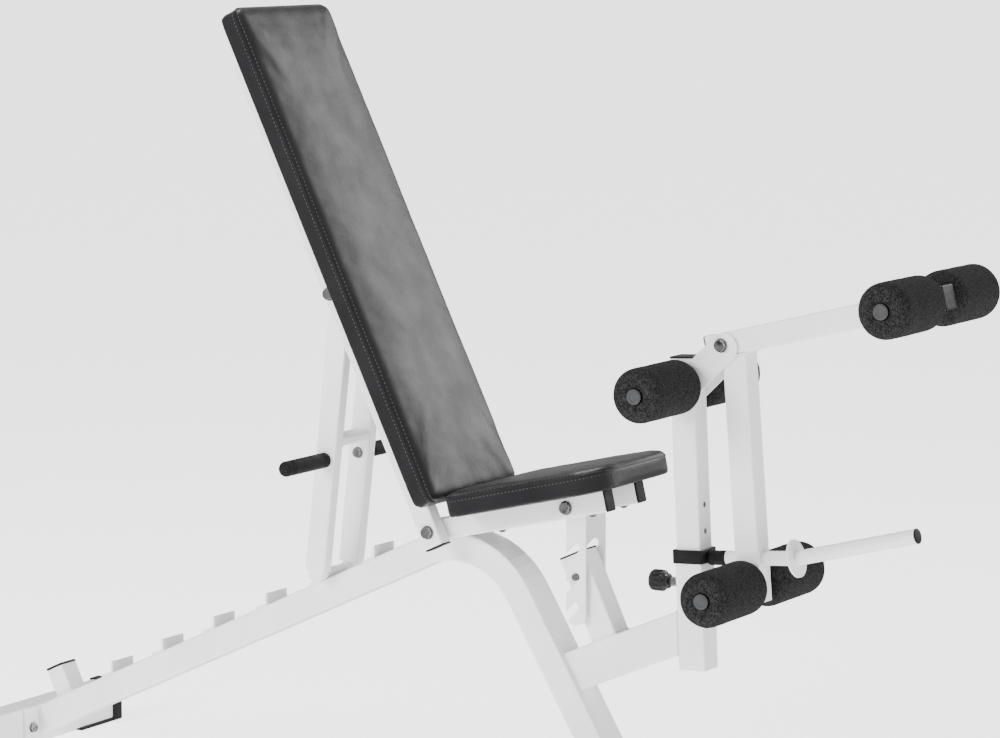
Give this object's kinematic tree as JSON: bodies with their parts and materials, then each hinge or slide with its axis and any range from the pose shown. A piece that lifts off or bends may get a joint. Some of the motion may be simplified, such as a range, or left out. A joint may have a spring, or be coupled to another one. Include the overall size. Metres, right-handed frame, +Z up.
{
  "type": "adjustable weight bench",
  "caption": "Incline weight bench with hinged back and seat pads on a bent steel spine and a leg developer with foam rollers and a plate horn.",
  "frame": {"origin": "on the floor, at the centre of the bench's box in X and Y", "axes": "+X towards the front, from the back pad to the leg developer; +Y to the bench's left; +Z up"},
  "size_m": [1.8792, 0.46, 1.3777],
  "materials": {
    "white_steel": "satin",
    "zinc_steel": "satin",
    "black_plastic": "satin",
    "black_upholstery": "satin",
    "pad_board": "matte",
    "black_foam": "matte",
    "black_rubber": "matte"
  },
  "bodies": {
    "frame": {"spine_frame": "white_steel", "rest_stub_cap": "black_plastic", "rear_crossmember": "white_steel", "rear_foot_cap_right": "black_plastic", "rear_foot_cap_left": "black_plastic", "rear_bolt_right": "zinc_steel", "rear_bolt_left": "zinc_steel", "front_crossmember": "white_steel", "front_foot_cap_right": "black_plastic", "front_foot_cap_left": "black_plastic", "neck_tube": "white_steel", "receiver_tube": "white_steel", "receiver_collar": "black_plastic", "seat_post": "white_steel", "seat_post_cap": "black_plastic", "seat_stop_pin": "zinc_steel", "hinge_bolt": "zinc_steel"},
    "back": {"back_rail_right": "white_steel", "back_rail_left": "white_steel", "back_rail_cap_right": "black_plastic", "back_rail_cap_left": "black_plastic", "back_crosspiece": "white_steel", "back_board": "pad_board", "back_pad": "black_upholstery", "support_pivot_bolt": "zinc_steel"},
    "back_support": {"support_leg_right": "white_steel", "support_leg_left": "white_steel", "support_brace": "white_steel", "support_foot": "white_steel", "support_grip_right": "black_rubber", "support_grip_left": "black_rubber", "grip_bolt_right": "zinc_steel", "grip_bolt_left": "zinc_steel"},
    "seat": {"seat_rail_right": "white_steel", "seat_rail_left": "white_steel", "seat_rail_cap_right": "black_plastic", "seat_rail_cap_left": "black_plastic", "seat_board": "pad_board", "seat_pad": "black_upholstery", "ladder_pivot_bolt": "zinc_steel"},
    "ladder": {"seat_ladder": "white_steel"},
    "leg_post": {"inner_post": "white_steel", "inner_post_cap": "black_plastic", "upper_axle": "zinc_steel", "arm_pivot_bolt": "zinc_steel"},
    "leg_arm": {"arm_beam": "white_steel", "beam_cap_rear": "black_plastic", "beam_cap_front": "black_plastic", "front_axle": "zinc_steel", "arm_tube": "white_steel", "arm_bumper": "black_rubber", "weight_horn": "white_steel", "lower_axle": "zinc_steel"},
    "pull_pin": {"pull_knob": "black_plastic"},
    "upper_roller_right_body": {"upper_roller_right": "black_foam"},
    "upper_roller_left_body": {"upper_roller_left": "black_foam"},
    "front_roller_right_body": {"front_roller_right": "black_foam"},
    "front_roller_left_body": {"front_roller_left": "black_foam"},
    "lower_roller_right_body": {"lower_roller_right": "black_foam"},
    "lower_roller_left_body": {"lower_roller_left": "black_foam"}
  },
  "joints": [
    {"name": "back_recline", "type": "hinge", "parent": "frame", "child": "back", "pos_m": [0.01024, 0, 0.483], "axis": [0, -1, 0], "range_deg": [0, 49.26]},
    {"name": "support_swing", "type": "hinge", "parent": "back", "child": "back_support", "pos_m": [-0.18678, 0, 0.88395], "axis": [0, -1, 0], "range_deg": [-76.5, 0.5]},
    {"name": "seat_tilt", "type": "hinge", "parent": "frame", "child": "seat", "pos_m": [0.01024, 0, 0.483], "axis": [0, -1, 0], "range_deg": [0, 11.5]},
    {"name": "ladder_swing", "type": "hinge", "parent": "seat", "child": "ladder", "pos_m": [0.26358, 0, 0.54149], "axis": [0, -1, 0], "range_deg": [-0.5, 13.2]},
    {"name": "leg_post_slide", "type": "slide", "parent": "frame", "child": "leg_post", "axis": [-0.0471, 0, 0.9989], "range_m": [-0.135, 0]},
    {"name": "pull_pin_slide", "type": "slide", "parent": "frame", "child": "pull_pin", "axis": [-1, 0, 0], "range_m": [0, 0.01], "stiffness_N_per_m": 600, "springref_m": -0.004},
    {"name": "leg_arm_swing", "type": "hinge", "parent": "leg_post", "child": "leg_arm", "pos_m": [0.53163, 0, 0.82853], "axis": [0, -1, 0], "range_deg": [0, 90]},
    {"name": "upper_roller_right_spin", "type": "hinge", "parent": "leg_post", "child": "upper_roller_right_body", "pos_m": [0.45754, 0, 0.75656], "axis": [0, -1, 0], "continuous": true},
    {"name": "upper_roller_left_spin", "type": "hinge", "parent": "leg_post", "child": "upper_roller_left_body", "pos_m": [0.45754, 0, 0.75656], "axis": [0, -1, 0], "continuous": true},
    {"name": "front_roller_right_spin", "type": "hinge", "parent": "leg_arm", "child": "front_roller_right_body", "pos_m": [0.89356, 0, 0.91877], "axis": [0, -1, 0], "continuous": true},
    {"name": "front_roller_left_spin", "type": "hinge", "parent": "leg_arm", "child": "front_roller_left_body", "pos_m": [0.89356, 0, 0.91877], "axis": [0, -1, 0], "continuous": true},
    {"name": "lower_roller_right_spin", "type": "hinge", "parent": "leg_arm", "child": "lower_roller_right_body", "pos_m": [0.58232, 0, 0.42971], "axis": [0, -1, 0], "continuous": true},
    {"name": "lower_roller_left_spin", "type": "hinge", "parent": "leg_arm", "child": "lower_roller_left_body", "pos_m": [0.58232, 0, 0.42971], "axis": [0, -1, 0], "continuous": true}
  ],
  "couplings": [
    {"joint": "support_swing", "follows": "back_recline", "ratio": -1.5342},
    {"joint": "ladder_swing", "follows": "seat_tilt", "ratio": 1.1}
  ]
}
